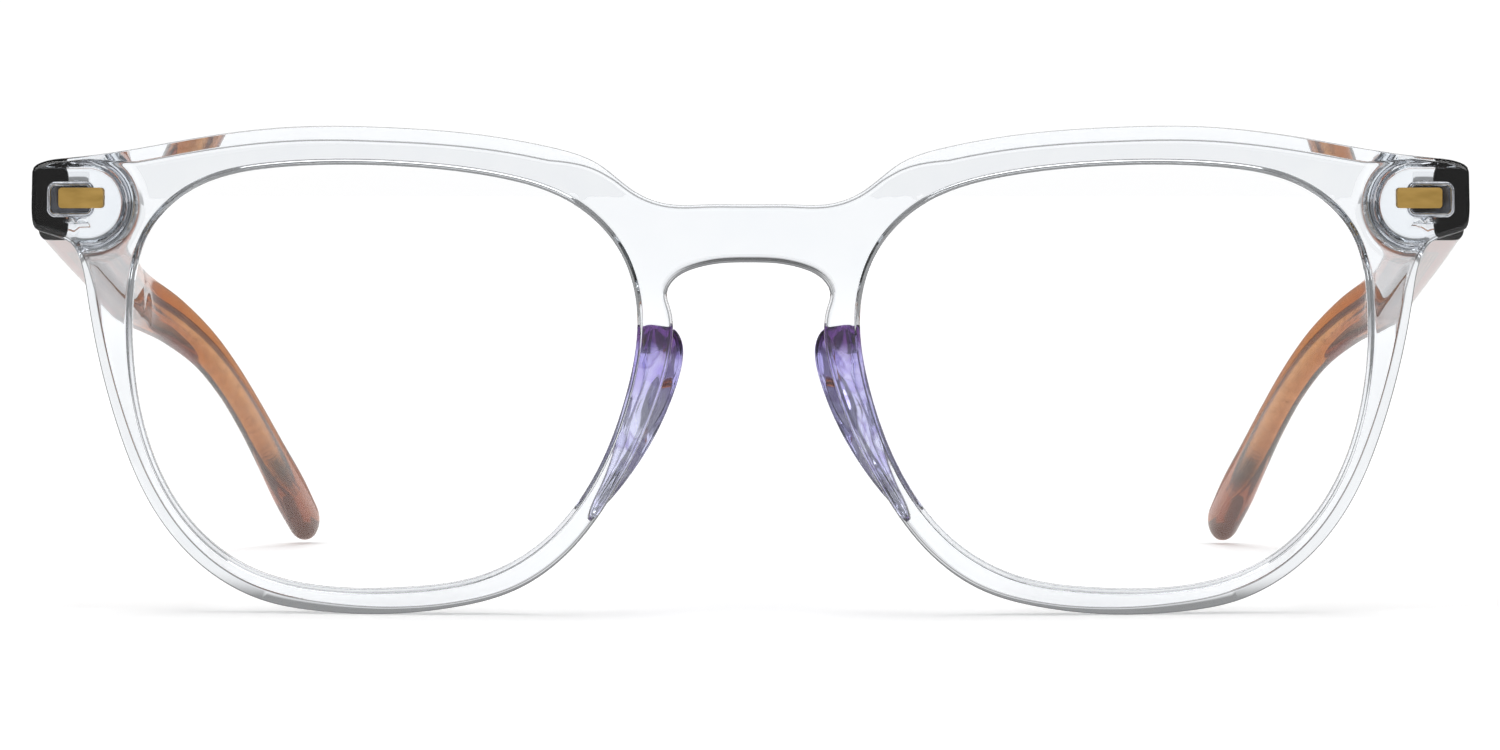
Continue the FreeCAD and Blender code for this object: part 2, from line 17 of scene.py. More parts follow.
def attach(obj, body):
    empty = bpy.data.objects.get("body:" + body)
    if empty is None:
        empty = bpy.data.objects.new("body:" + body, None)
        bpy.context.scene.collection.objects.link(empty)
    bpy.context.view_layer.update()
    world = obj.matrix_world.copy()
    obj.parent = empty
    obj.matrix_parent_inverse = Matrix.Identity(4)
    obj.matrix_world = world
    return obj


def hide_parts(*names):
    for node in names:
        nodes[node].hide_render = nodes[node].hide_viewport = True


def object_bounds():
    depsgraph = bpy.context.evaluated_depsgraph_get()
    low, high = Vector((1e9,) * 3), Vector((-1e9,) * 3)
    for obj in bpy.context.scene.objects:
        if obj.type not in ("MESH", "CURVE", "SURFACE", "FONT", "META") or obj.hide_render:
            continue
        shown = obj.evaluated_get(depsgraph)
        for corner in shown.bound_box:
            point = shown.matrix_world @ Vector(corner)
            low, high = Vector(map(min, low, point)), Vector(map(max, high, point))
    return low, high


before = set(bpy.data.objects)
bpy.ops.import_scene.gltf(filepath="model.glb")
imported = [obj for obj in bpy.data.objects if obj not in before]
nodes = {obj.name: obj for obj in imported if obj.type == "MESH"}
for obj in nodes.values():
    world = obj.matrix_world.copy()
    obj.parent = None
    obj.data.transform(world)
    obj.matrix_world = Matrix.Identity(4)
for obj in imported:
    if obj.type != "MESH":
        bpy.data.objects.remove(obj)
cad_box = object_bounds()
FRONT_Y = -0.072947              # the bridge's front face, in metres
SIGN = {"left": 1, "right": -1}  # which way x runs on each side

# The front's plate
FACE_RADIUS = 260.0
CURVE_Z = 23.15                  # height of the dome's middle
RIM_THICK = 4.2
EDGE_ROUND = 0.15                # radius of the polished round on each crisp edge
LARGEST_ROUND = 0.42             # share of the way to the next edge that a round may take
LAND = 0.35                      # flat strip kept beside each edge
FACET_FALL = 0.62                # how much deeper the facet's outer edge is, for its width
BACK_BEVEL = 0.4
OPENING_BEVEL = 0.32
# How dark the painted shade on the rounded outline and opening edges is, from 0 to 1
OUTLINE_PAINTED_SHADE, OPENING_PAINTED_SHADE = 1.0, 0.45
LENS_FRONT, LENS_BACK = 1.1, 3.0
LENS_BEVEL = 0.55
GROOVE_GAP = 0.03                # room past the lens's edge
GROOVE_LIP = 0.07                # how much wider than the lens the groove's mouth is, each way
GROOVE_SLOPE = 0.47              # depth that each sloping side of the groove takes

# Its mesh
OUTLINE_STEP = 0.45
FRONT_GRID, BACK_GRID = 1.3, 1.1
ROW_PITCH = 0.87                 # between rows of the grid, for its spacing
GRID_GAP = 0.45                  # least distance of the grid from other points, for its spacing
LINE_GAP = 0.12                  # least distance of extra lines from the boundary
FLAT_WEIGHT = 90                 # how strongly the largest face sets the shading, 1 to 100
SAME_POINT = 1e-6                # points nearer than this are one

# The bosses behind the end pieces
BUTT = 16.5                      # depth of the face that the temple meets
BOSS_X, BOSS_Z, BOSS_RADIUS = 64.4, 39.6, 3.8
BOSS_FILLET = 1.9
BOSS_EDGE = 0.45                 # how wide and how deep the boss's edge is eased
BOSS_DRAFT = 0.14                # how far out the boss's steep side runs
BOSS_LEVELS = (-0.6, -0.45, -0.25, -0.1, 0.0, 0.14, 0.3, 0.55, 0.85, 1.2, 1.55, 1.9, 2.4)
BOSS_LINE_END = 71.0             # x just past the end piece
BOSS_LINE_STEP = 0.4
BOSS_TURN_POINTS = 44

# The hinge, and the hollow round its barrel
HINGE_X, HINGE_Z, HINGE_DEPTH = 65.4, 39.6, 17.5
KNUCKLE, KNUCKLE_PITCH = 1.35, 0.68
KNUCKLE_GAP, KNUCKLE_EDGE = 0.03, 0.06
RELIEF, RELIEF_HALF_HEIGHT = 1.62, 1.9
RELIEF_LINES = (0.0, 0.06)       # how far out the lines round the hollow are
RELIEF_SPREAD = 0.78             # half width of those lines, for the hollow's radius
RELIEF_POINTS = 12
FOOT_X, FOOT_Z, FOOT_SIZE, FOOT_DEPTH = 66.1, 40.05, (4.8, 3.5), 3.2
FOOT_THICK, FOOT_CORNER, FOOT_RIM = 1.2, 0.9, 0.5
FOOT_EDGE, FOOT_LIP, FOOT_HOLLOW = 0.14, 0.12, 0.45
NECK_SIZE, NECK_CORNER, NECK_OVERLAP = (2.8, 2.6), 0.2, 0.1
FRONT_KNUCKLES = (-2, 0, 2)      # of five, counted in pitches from the middle one
CORNER_POINTS, ROUND_POINTS = 8, 48

# Left half of the front's outline, (x, z): bridge top, brow, end piece, rim, nose side, keyhole.
OUTLINE = [(0.0, 39.7), (4.0, 39.7), (7.6, 39.72), (10.9, 40.9), (14.5, 43.6), (19.0, 45.2),
           (26.1, 46.45), (35.8, 47.18), (43.6, 47.23), (53.4, 46.2), (61.6, 44.8), (66.6, 44.2),
           (69.2, 43.75), (69.92, 43.3), (70.1, 42.3), (70.14, 40.0), (70.06, 38.1),
           (69.8, 37.35), (69.0, 36.95), (67.4, 36.45), (66.2, 35.9), (65.4, 34.7), (64.6, 31.2),
           (63.35, 24.5), (61.5, 17.9), (58.3, 10.5), (53.4, 4.65), (47.0, 1.15), (41.8, 0.25),
           (36.3, 0.0), (29.0, 0.65), (22.2, 2.6), (16.9, 6.6), (13.2, 11.6), (11.0, 15.6),
           (9.2, 19.7), (7.9, 23.7), (7.3, 27.0), (7.5, 29.6), (7.85, 31.2), (7.1, 32.5),
           (5.2, 33.5), (2.8, 34.0), (0.0, 34.1)]

# The left rim's clear opening, as shares of its half width and half height about its centre.
OPENING = [(0.13, 0.99), (-0.16, 0.975), (-0.45, 0.93), (-0.745, 0.81), (-0.93, 0.59),
           (-1.0, 0.31), (-0.962, -0.065), (-0.845, -0.44), (-0.61, -0.795), (-0.375, -0.945),
           (-0.08, -1.0), (0.26, -0.995), (0.576, -0.883), (0.816, -0.615), (0.94, -0.3),
           (0.996, 0.066), (0.997, 0.355), (0.937, 0.66), (0.737, 0.887), (0.44, 0.975)]
OPENING_CENTRE = (35.4, 23.15)
OPENING_HALF = (24.65, 20.55)

# Width of the facet along the outline's front edge, beside each of these points (x, z).
FACETS = [((4, 39.7), 0.25), ((12.6, 42.1), 0.3), ((19.0, 45.2), 1.3), ((35.8, 47.2), 1.4),
          ((60.0, 45.1), 1.35), ((64.5, 44.4), 0.35), ((70.2, 40.0), 0.35), ((66.0, 35.7), 0.3),
          ((64.6, 31.2), 0.9), ((58.3, 10.5), 1.15), ((47.0, 1.15), 1.1), ((30.0, 0.5), 0.5),
          ((16.9, 6.6), 0.3), ((7.3, 27.0), 0.3), ((3.0, 34.0), 0.25)]

# Temple stations: depth, x, z, half height, half thickness, squareness.
TEMPLE = [(16.5, 68.2, 39.75, 3.5, 2.0, 6.0), (38.0, 68.2, 36.8, 3.35, 2.0, 6.0),
          (64.0, 68.2, 33.25, 3.15, 1.95, 5.0), (88.0, 68.15, 29.95, 3.0, 1.9, 4.2),
          (96.5, 67.4, 28.6, 2.9, 1.8, 3.6), (104.0, 64.75, 26.4, 2.55, 1.65, 3.0),
          (110.5, 61.85, 23.2, 2.2, 1.5, 2.6), (116.5, 59.6, 19.45, 2.05, 1.45, 2.5),
          (122.5, 57.85, 15.55, 2.1, 1.5, 2.4), (130.5, 55.95, 10.5, 2.25, 1.65, 2.4),
          (137.7, 54.35, 6.05, 2.45, 1.85, 2.3), (142.5, 53.2, 2.9, 2.35, 1.75, 2.2)]
TEMPLE_STEP, TEMPLE_POINTS = 0.7, 64
TIP_LENGTH, TIP_RINGS, TIP_SQUARENESS = 2.9, 9, 2.1
SMALLEST_RING = 0.02             # share of its size that a closing ring shrinks to
BUTT_SHARES = (0.05, 0.45, 0.86, 0.95)
BUTT_EASE = 0.3

# Outline of one nose pad on the rim's back, (x, z), from its top down the nose side and back up.
PAD = [(8.6, 27.95), (7.2, 27.6), (6.5, 26.5), (6.35, 25.2), (6.9, 22.5), (8.1, 19.3),
       (10.3, 15.2), (12.7, 11.9), (14.7, 9.7), (15.45, 9.1), (15.35, 9.9), (14.35, 12.3),
       (13.1, 15.5), (12.1, 18.8), (11.3, 22.0), (10.75, 25.0), (10.45, 27.2), (10.1, 27.85)]
PAD_BACK_DEPTH = 10.1
PAD_SEAT = 0.02                  # glue under the pad
PAD_LEAN = 0.5                   # how far outward the pad's back lies from its seat
PAD_RIPPLE, PAD_RIPPLE_TURNS = 0.32, (0.8, 1.15)  # height, and radians for each mm of x and z
PAD_EDGE = 0.03                  # share of its height that the pad's square edge takes
PAD_THINNING, PAD_THIN_FROM, PAD_THIN_TO = 0.35, 18, 8
PAD_SEAT_SHARES = (0.3, 0.6, 0.85, 0.96)
PAD_FIRST_TURN, PAD_RINGS = 0.06, 16
PAD_FULLNESS, PAD_RISE = 0.55, 0.85  # powers that square the pad's crown off: less is squarer
PAD_POINTS, PAD_STEP = 120, 0.1

# The studio
ROOM_FRONT, ROOM_SIDE = 0.5, 0.3
FLOOR_NEAR, FLOOR_FAR, WALL = 0.26, 0.80, 1.04
SIDE_DIMMING = 0.7               # share of the floor's glow that is lost far to the sides
SOFTBOXES = (("top_box", (0, 0.1, 1.1), (1.0, 1.0), 7.5),
             ("left_box", (-0.9, -0.7, 0.7), (0.5, 0.7), 3),
             ("right_box", (0.9, -0.7, 0.7), (0.5, 0.7), 3))
SOFTBOX_AIM = (0, 0, 0.02)
FLOOR_SIZE = 40
CAMERA_PLACE = (0.00845, FRONT_Y - 0.7, 0.042)
CAMERA_AIM = (0.00015, FRONT_Y, 0.0233)
CAMERA_LENS, CAMERA_SENSOR = 174.8, 36
WHITE = (1.0, 1.0, 1.0)


# Curves

def hermite(share, span, start, start_slope, end, end_slope):
    """The cubic from start to end, which are a span apart, at this share of the way."""
    a = 2 * share**3 - 3 * share**2 + 1
    b = share**3 - 2 * share**2 + share
    c = -2 * share**3 + 3 * share**2
    d = share**3 - share**2
    return a * start + b * span * start_slope + c * end + d * span * end_slope


def periodic_spline(points, spacing):
    """Points every `spacing` mm on the closed cubic spline through these points."""
    knots = np.array(points, float)
    chord = np.linalg.norm(np.roll(knots, -1, axis=0) - knots, axis=1)
    before = np.roll(chord, 1)
    n = len(knots)
    matrix = np.zeros((n, n))
    right = np.zeros((n, 2))
    for i in range(n):
        j = (i + 1) % n
        h0, h1 = before[i], chord[i]
        matrix[i, (i - 1) % n] += h1
        matrix[i, i] += 2 * (h0 + h1)
        matrix[i, j] += h0
        rise0 = (knots[i] - knots[i - 1]) / h0
        rise1 = (knots[j] - knots[i]) / h1
        right[i] = 3 * (h1 * rise0 + h0 * rise1)
    slope = np.linalg.solve(matrix, right)
    samples = []
    for i in range(n):
        j = (i + 1) % n
        steps = max(2, round(chord[i] / spacing))
        samples += [hermite(share, chord[i], knots[i], slope[i], knots[j], slope[j])
                    for share in np.arange(0, 1, 1 / steps)]
    return np.array(samples)


def smooth_stations(stations, spacing):
    """Stations every `spacing` mm of depth on the smooth curve through these stations."""
    values = np.array(stations, float)
    depth = values[:, 0]
    slope = np.gradient(values, depth, axis=0)
    samples = []
    for d in np.append(np.arange(depth[0], depth[-1], spacing), depth[-1]):
        i = min(np.searchsorted(depth, d, side="right") - 1, len(depth) - 2)
        span = depth[i + 1] - depth[i]
        share = (d - depth[i]) / span
        samples.append(hermite(share, span, values[i], slope[i], values[i + 1], slope[i + 1]))
    return np.array(samples)


def travel(points):
    """How far along their run each of these points is."""
    return np.concatenate([[0], np.cumsum(np.hypot(*np.diff(points, axis=0).T))])


def travelled_at(point, run, travelled):
    """How far along a run of points its nearest place to this point is."""
    best, where = 1e9, 0.0
    for i in range(len(run) - 1):
        step = run[i + 1] - run[i]
        share = np.clip(np.dot(point - run[i], step) / np.dot(step, step), 0, 1)
        gap = np.hypot(*(run[i] + share * step - point))
        if gap < best:
            best, where = gap, travelled[i] + share * np.hypot(*step)
    return where


def even_loop(points, count):
    """Points at equal steps round a closed curve, starting at its first point."""
    loop = periodic_spline(points, PAD_STEP)
    closed = np.concatenate([loop, loop[:1]])
    travelled = travel(closed)
    steps = np.arange(count) / count * travelled[-1]
    return np.stack([np.interp(steps, travelled, closed[:, k]) for k in (0, 1)], axis=1)


def rounded_rectangle(half_w, half_h, radius):
    points = []
    for k, (sx, sz) in enumerate(((1, 1), (-1, 1), (-1, -1), (1, -1))):
        for turn in np.linspace(k * math.pi / 2, (k + 1) * math.pi / 2, CORNER_POINTS):
            points.append((sx * (half_w - radius) + radius * math.cos(turn),
                           sz * (half_h - radius) + radius * math.sin(turn)))
    return np.array(points)


def disc(radius):
    turns = np.arange(ROUND_POINTS) / ROUND_POINTS * 2 * math.pi
    return np.stack([radius * np.cos(turns), radius * np.sin(turns)], axis=1)


def outward_normals(loop):
    along = np.roll(loop, -1, axis=0) - np.roll(loop, 1, axis=0)
    normal = np.stack([along[:, 1], -along[:, 0]], axis=1)
    normal /= np.linalg.norm(normal, axis=1)[:, None]
    area = np.sum(loop[:, 0] * np.roll(loop[:, 1], -1) - loop[:, 1] * np.roll(loop[:, 0], -1))
    return normal if area > 0 else -normal


def inside(points, loop):
    """For each point, whether it lies in the closed loop."""
    x, z = points[:, 0][:, None], points[:, 1][:, None]
    x0, z0 = loop[:, 0], loop[:, 1]
    x1, z1 = np.roll(x0, -1), np.roll(z0, -1)
    crosses = (z0 > z) != (z1 > z)
    with np.errstate(divide="ignore", invalid="ignore"):
        at = x0 + (z - z0) * (x1 - x0) / (z1 - z0)
    return (np.sum(crosses & (x < at), axis=1) % 2) == 1


def between(points, loops):
    """For each point, whether it lies in the first loop and outside the others."""
    good = inside(points, loops[0])
    for hole in loops[1:]:
        good &= ~inside(points, hole)
    return good


def nearest(points, others):
    """Distance from each point to the nearest of the others."""
    return np.array([np.min(np.hypot(*(others - p).T)) for p in points])


def smooth_step(value, low, high):
    t = np.clip((value - low) / (high - low), 0, 1)
    return t * t * (3 - 2 * t)


# Depths of the front's surfaces

def dome(x, z, inset=0.0):
    """Depth of the front's curved surface, this far in from its face."""
    radius = FACE_RADIUS - inset
    return FACE_RADIUS - np.sqrt(radius**2 - x**2 - (z - CURVE_Z) ** 2)


def back_depth(x, z):
    """Depth of the front's back: the rim's back, and the bosses with their fillet and relief."""
    x = np.abs(x)
    beyond = np.hypot(np.minimum(x - BOSS_X, 0), z - BOSS_Z) - BOSS_RADIUS
    to_foot = BOSS_FILLET - np.clip(beyond, 0, BOSS_FILLET)
    fillet = BOSS_FILLET - np.sqrt(np.clip(BOSS_FILLET**2 - to_foot**2, 0, None))
    flank = dome(x, z, RIM_THICK) + fillet
    top = BUTT - BOSS_EDGE * smooth_step(beyond, -BOSS_EDGE, 0.0) ** 2
    wall = smooth_step(beyond, 0.0, BOSS_DRAFT)
    depth = top * (1 - wall) + flank * wall
    hollow = (np.abs(x - HINGE_X) < RELIEF) & (np.abs(z - BOSS_Z) < RELIEF_HALF_HEIGHT)
    cut = HINGE_DEPTH - np.sqrt(np.clip(RELIEF**2 - (x - HINGE_X) ** 2, 0, None))
    return np.where(hollow, np.minimum(depth, cut), depth)


def facet_width(loop):
    """Width of the front facet at each point of the outline."""
    half = np.array(OUTLINE)
    travelled = travel(half)
    left = np.stack([np.abs(loop[:, 0]), loop[:, 1]], axis=1)
    where = [travelled_at(point, half, travelled) for point in left]
    marks = [travelled_at(np.array(mark), half, travelled) for mark, _ in FACETS]
    return np.interp(where, marks, [width for _, width in FACETS])


# Mesh making

def on_surface(points, depth_of, *how):
    """Points (x, depth, z) over points (x, z)."""
    return np.stack([points[:, 0], depth_of(points[:, 0], points[:, 1], *how), points[:, 1]],
                    axis=1)


def deeper(points, depth):
    """The same points with another depth."""
    return np.stack([points[:, 0], depth, points[:, 2]], axis=1)


def round_corners(rings, radius, painted_shade):
    """Replace each ring but the first and last by three, which round its corner.

    Returns the new rings and a mark for each: only the middle of a rounded corner is marked for
    painted shade.
    """
    def toward(start, end):
        run = end - start
        length = np.linalg.norm(run, axis=1)[:, None]
        return start + run / length * np.minimum(radius, LARGEST_ROUND * length)

    rounded = [rings[0]]
    marks = [0.0]
    for before, corner, after in zip(rings, rings[1:], rings[2:]):
        first = toward(corner, before)
        last = toward(corner, after)
        rounded += [first, (first + last) / 4 + corner / 2, last]
        marks += [0.0, painted_shade, 0.0]
    return rounded + [rings[-1]], marks + [0.0]


class Shape:
    """Points and faces of one piece, with a mark from 0 to 1 on each point, which its material may
    turn into painted shade.
    """

    def __init__(self):
        self.vertices = []
        self.faces = []
        self.marks = []

    def add(self, points, mark=0.0):
        """Add points; returns their numbers."""
        start = len(self.vertices)
        self.vertices += [tuple(point) for point in points]
        self.marks += [mark] * len(points)
        return list(range(start, len(self.vertices)))

    def tube(self, rings, marks=None):
        """Quads between rings of equal length; returns the numbers of each ring's points."""
        marks = marks or [0.0] * len(rings)
        numbers = [self.add(ring, mark) for ring, mark in zip(rings, marks)]
        for a, b in zip(numbers, numbers[1:]):
            n = len(a)
            for i in range(n):
                j = (i + 1) % n
                self.faces.append((a[i], a[j], b[j], b[i]))
        return numbers

    def solid(self, rings, marks=None):
        """A tube with a face over each end."""
        numbers = self.tube(rings, marks)
        self.faces += [tuple(numbers[0]), tuple(numbers[-1])]

    def wall(self, rings, painted_shade):
        """A tube with a rounded corner at each ring, its middle marked for painted shade; returns
        the numbers of its end rings.
        """
        numbers = self.tube(*round_corners(rings, EDGE_ROUND, painted_shade))
        return numbers[0], numbers[-1]

    def skin(self, boundary_rings, lines, depth_of, spacing):
        """Fill between boundary rings with triangles; lines are extra runs of points to keep."""
        loops = [np.array([self.vertices[i] for i in ring])[:, [0, 2]] for ring in boundary_rings]
        boundary = np.concatenate(loops)
        numbers = [i for ring in boundary_rings for i in ring]
        edges = []
        for ring in boundary_rings:
            start, n = len(edges), len(ring)
            edges += [(start + i, start + (i + 1) % n) for i in range(n)]

        extra = []
        for line in lines:
            line = np.array(line)
            good = between(line, loops) & (nearest(line, boundary) > LINE_GAP)
            last = None
            for point, keep in zip(line, good):
                if not keep:
                    last = None
                    continue
                here = len(boundary) + len(extra)
                extra.append(point)
                if last is not None:
                    edges.append((last, here))
                last = here
        extra = np.array(extra).reshape(-1, 2)

        low, high = loops[0].min(axis=0), loops[0].max(axis=0)
        xs = np.arange(low[0], high[0], spacing)
        zs = np.arange(low[1], high[1], spacing * ROW_PITCH)
        grid = np.array([(x + (k % 2) * spacing / 2, z) for k, z in enumerate(zs) for x in xs])
        grid = grid[between(grid, loops)]
        grid = grid[nearest(grid, np.concatenate([boundary, extra])) > spacing * GRID_GAP]

        new = np.concatenate([extra, grid])
        numbers += self.add(on_surface(new, depth_of))
        points = [Vector(point) for point in np.concatenate([boundary, new])]
        flat, _, triangles, sources, _, _ = delaunay_2d_cdt(points, edges, [], 0, SAME_POINT)
        number = [numbers[source[0]] if source else None for source in sources]
        triangles = [t for t in triangles if all(number[i] is not None for i in t)]
        flat = np.array(flat)
        centres = np.array([flat[list(t)].mean(axis=0) for t in triangles])
        self.faces += [tuple(number[i] for i in t)
                       for t, keep in zip(triangles, between(centres, loops)) if keep]


def keep_flats(obj):
    """Let each corner's shading follow its largest face, so that small rounds stay crisp."""
    weighted = obj.modifiers.new("flat_shading", "WEIGHTED_NORMAL")
    weighted.mode = "FACE_AREA"
    weighted.weight = FLAT_WEIGHT
    weighted.keep_sharp = True


def make_object(name, shape, material, body, replaced, attribute=None):
    """A smooth object from a shape, riding on a body in place of a CAD node.

    With an attribute's name, the shape's marks become that attribute, and its flats are kept.
    """
    metres = [(x / 1000, FRONT_Y + d / 1000, z / 1000) for x, d, z in shape.vertices]
    mesh = bpy.data.meshes.new(name)
    mesh.from_pydata(metres, [], shape.faces)
    mesh.validate()
    for polygon in mesh.polygons:
        polygon.use_smooth = True
    obj = bpy.data.objects.new(name, mesh)
    bpy.context.scene.collection.objects.link(obj)
    mesh.materials.append(material)
    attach(obj, body)
    if attribute:
        marks = mesh.attributes.new(attribute, "FLOAT", "POINT")
        marks.data.foreach_set("value", shape.marks)
        keep_flats(obj)
    work = bmesh.new()
    work.from_mesh(mesh)
    bmesh.ops.recalc_face_normals(work, faces=work.faces)
    work.to_mesh(mesh)
    work.free()
    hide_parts(replaced)


# Front

def boss_lines():
    """Runs of points that follow both bosses' edges, flanks and fillets, and their relief."""
    runs = []
    for level in BOSS_LEVELS:
        r = BOSS_RADIUS + level
        run = [(x, BOSS_Z + r) for x in np.arange(BOSS_LINE_END, BOSS_X, -BOSS_LINE_STEP)]
        run += [(BOSS_X + r * math.cos(t), BOSS_Z + r * math.sin(t))
                for t in np.linspace(math.pi / 2, 3 * math.pi / 2, BOSS_TURN_POINTS)]
        run += [(x, BOSS_Z - r)
                for x in np.arange(BOSS_X + BOSS_LINE_STEP, BOSS_LINE_END, BOSS_LINE_STEP)]
        runs.append(run)
    for inset in RELIEF_LINES:
        half_w, half_h = RELIEF * RELIEF_SPREAD + inset, RELIEF_HALF_HEIGHT + inset
        across = np.linspace(-half_w, half_w, RELIEF_POINTS)
        up = np.linspace(-half_h, half_h, RELIEF_POINTS)
        run = [(HINGE_X + a, BOSS_Z - half_h) for a in across]
        run += [(HINGE_X + half_w, BOSS_Z + u) for u in up[1:]]
        run += [(HINGE_X + a, BOSS_Z + half_h) for a in across[::-1][1:]]
        run += [(HINGE_X - half_w, BOSS_Z + u) for u in up[::-1][1:]]
        runs.append(run)
    return runs + [[(-x, z) for x, z in run] for run in runs]


def build_front(material):
    """The plate with its facets and bevels, its two grooved openings and its bosses."""
    front = Shape()
    mirrored_half = [(-x, z) for x, z in reversed(OUTLINE[1:-1])]
    outline = periodic_spline(OUTLINE + mirrored_half, OUTLINE_STEP)
    out = outward_normals(outline)
    width = facet_width(outline)[:, None]

    def inset(amount, depth_of):
        return on_surface(outline - out * amount, depth_of)

    facet = inset(width, dome)
    side = deeper(inset(0, dome), facet[:, 1] + FACET_FALL * width[:, 0])
    back = inset(BACK_BEVEL, back_depth)
    side_back = deeper(side, back[:, 1] - BACK_BEVEL)
    ends = [front.wall([inset(width + LAND, dome), facet, side, side_back, back,
                        inset(BACK_BEVEL + LAND, back_depth)], OUTLINE_PAINTED_SHADE)]

    cx, cz = OPENING_CENTRE
    left = periodic_spline([(cx + u * OPENING_HALF[0], cz + v * OPENING_HALF[1])
                            for u, v in OPENING], OUTLINE_STEP)
    groove = LENS_BEVEL + GROOVE_GAP
    profile = ((OPENING_BEVEL + LAND, 0.0), (OPENING_BEVEL, 0.0), (0.0, OPENING_BEVEL),
               (0.0, LENS_FRONT - GROOVE_LIP), (groove, LENS_FRONT + GROOVE_SLOPE),
               (groove, LENS_BACK - GROOVE_SLOPE), (0.0, LENS_BACK + GROOVE_LIP),
               (0.0, RIM_THICK - OPENING_BEVEL), (OPENING_BEVEL, RIM_THICK),
               (OPENING_BEVEL + LAND, RIM_THICK))
    for opening in (left, left * [-1, 1]):
        into = outward_normals(opening)
        ends.append(front.wall([on_surface(opening + into * reach, dome, depth)
                                for reach, depth in profile], OPENING_PAINTED_SHADE))
    front_rings, back_rings = zip(*ends)
    front.skin(front_rings, [], dome, FRONT_GRID)
    front.skin(back_rings, boss_lines(), back_depth, BACK_GRID)
    # The "edge" attribute holds the painted shade marks of the rounded edges
    make_object("clear_front", front, material, "front", "front_frame", "edge")


# Temples

def temple_rings():
    """Rings of points down one temple, from its butt face to its rounded tip."""
    stations = smooth_stations(TEMPLE, TEMPLE_STEP)
    stations[:, 1] = np.minimum(stations[:, 1], TEMPLE[0][1])
    centres = stations[:, [1, 0, 2]]
    tangents = np.gradient(centres, axis=0)
    tangents /= np.linalg.norm(tangents, axis=1)[:, None]
    tangents[0] = (0, 1, 0)
    turns = (np.arange(TEMPLE_POINTS) + 0.5) / TEMPLE_POINTS * 2 * math.pi
    c, s = np.cos(turns), np.sin(turns)

    def ring(centre, tangent, half_h, half_w, power):
        across = np.cross(tangent, (0, 0, 1))
        across /= np.linalg.norm(across)
        upward = np.cross(across, tangent)
        u = half_w * np.sign(c) * np.abs(c) ** (2 / power)
        v = half_h * np.sign(s) * np.abs(s) ** (2 / power)
        return centre + u[:, None] * across + v[:, None] * upward

    rings = [ring(centre, tangent, *row[3:])
             for centre, tangent, row in zip(centres, tangents, stations)]
    half_h, half_w = stations[-1][3:5]
    for turn in np.linspace(0, math.pi / 2, TIP_RINGS + 1)[1:]:
        shrink = max(math.cos(turn), SMALLEST_RING)
        centre = centres[-1] + tangents[-1] * TIP_LENGTH * math.sin(turn)
        rings.append(ring(centre, tangents[-1], half_h * shrink, half_w * shrink,
                          TIP_SQUARENESS))
    butt = rings[0]
    middle = butt.mean(axis=0)
    face = [middle + (butt - middle) * share for share in BUTT_SHARES]
    return face + [deeper(butt, butt[:, 1] + BUTT_EASE)] + rings[1:]


def relieve(ring):
    """Move points out of the hinge's barrel."""
    ring = ring.copy()
    low = np.abs(ring[:, 2] - BOSS_Z) < RELIEF_HALF_HEIGHT
    dy = np.abs(ring[:, 1] - HINGE_DEPTH)
    edge = HINGE_X + np.sqrt(np.clip(RELIEF**2 - dy**2, 0, None))
    hit = low & (dy < RELIEF) & (ring[:, 0] < edge)
    ring[hit, 0] = edge[hit]
    return ring


def build_temple(side, material):
    temple = Shape()
    temple.solid([relieve(ring) * [SIGN[side], 1, 1] for ring in temple_rings()])
    make_object(f"amber_temple_{side}", temple, material, f"temple_{side}",
                f"temple_{side}")


# Nose pads

def build_pad(side, material):
    """A soft pad swelling back from the rim, its skin side gently rippled."""
    loop = even_loop(PAD, PAD_POINTS)
    spine = (loop + np.roll(loop[::-1], 1, axis=0)) / 2
    lean = np.array([PAD_LEAN, 0.0])

    def ring(share, rise):
        points = spine + (loop - spine) * share + lean * rise
        x, z = points.T
        seat = dome(x, z, RIM_THICK + PAD_SEAT)
        waves = np.sin(z * PAD_RIPPLE_TURNS[1] + x * PAD_RIPPLE_TURNS[0])
        ripple = PAD_RIPPLE * waves * rise * (1 - share)
        thinning = 1 - PAD_THINNING * smooth_step(z, PAD_THIN_FROM, PAD_THIN_TO)
        height = (PAD_BACK_DEPTH - seat) * rise * thinning
        return np.stack([SIGN[side] * x, seat + height + ripple, z], axis=1)

    rings = [ring(share, 0.0) for share in (SMALLEST_RING, *PAD_SEAT_SHARES)]
    rings.append(ring(1.0, PAD_EDGE))
    for turn in np.linspace(PAD_FIRST_TURN, 1.0, PAD_RINGS):
        share = max(math.cos(turn * math.pi / 2) ** PAD_FULLNESS, SMALLEST_RING)
        rings.append(ring(share, PAD_EDGE + (1 - PAD_EDGE) * turn**PAD_RISE))
    pad = Shape()
    numbers = pad.tube(rings)
    for end in (numbers[0], numbers[-1]):
        for i in range(PAD_POINTS // 2 - 1):
            pad.faces.append((end[i], end[i + 1], end[-2 - i], end[-1 - i]))
    make_object(f"pad_painted_reflection_{side}", pad, material, "front", f"nose_pad_{side}")


# Metal hinge foot

